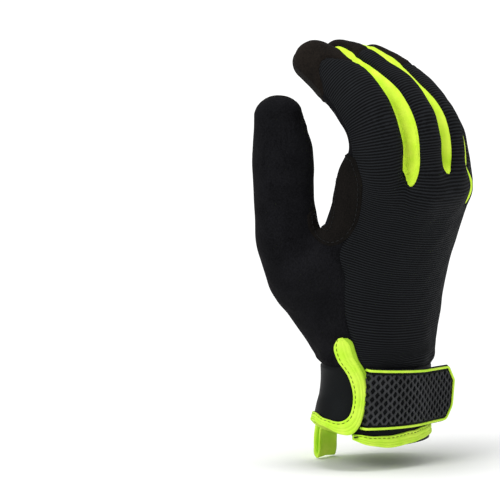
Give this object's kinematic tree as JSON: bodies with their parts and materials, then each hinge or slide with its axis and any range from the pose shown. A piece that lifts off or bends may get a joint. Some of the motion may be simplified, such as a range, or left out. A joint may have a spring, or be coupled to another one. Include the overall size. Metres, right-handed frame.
{
  "type": "mechanic glove",
  "caption": "Right-hand mechanic glove with a ribbed knit back, synthetic suede palm, side gussets between the fingers and a short neoprene cuff closed by a wrist strap.",
  "frame": {"origin": "centre of the wrist opening, level with the hem of the back of the cuff", "axes": "+Z from the wrist to the fingertips, -Y out of the back of the hand, +Y out of the palm, -X to the thumb"},
  "size_m": [0.1139, 0.0887, 0.2311],
  "materials": {
    "rib_knit": "fine ribbed stretch knit, black",
    "suede": "synthetic suede, brushed, black",
    "patch_suede": "second layer of synthetic suede, brushed, black",
    "touch_cloth": "smooth conductive cloth, dark grey",
    "lime_knit": "smooth stretch knit, lime",
    "lime_tape": "woven binding tape, lime",
    "neoprene": "neoprene faced with smooth jersey, black",
    "rubber_net": "moulded rubber net with diamond openings, dark grey"
  },
  "bodies": {
    "root": {"back_panel": "rib_knit", "palm_panel": "suede", "thumb_panel": "suede", "fourchette_index_middle": "lime_knit", "fourchette_middle_ring": "lime_knit", "fourchette_ring_little": "lime_knit", "palm_patch": "patch_suede", "thumb_crotch_patch": "patch_suede", "index_tip_cap": "touch_cloth", "thumb_tip_patch": "touch_cloth", "cuff_band": "neoprene", "hem_tape": "lime_tape", "slit_tape_thumb": "lime_tape", "slit_tape_back": "lime_tape", "closure_strap": "neoprene", "strap_grip": "rubber_net", "strap_piping": "lime_tape", "pull_tab": "lime_tape"}
  },
  "joints": []
}
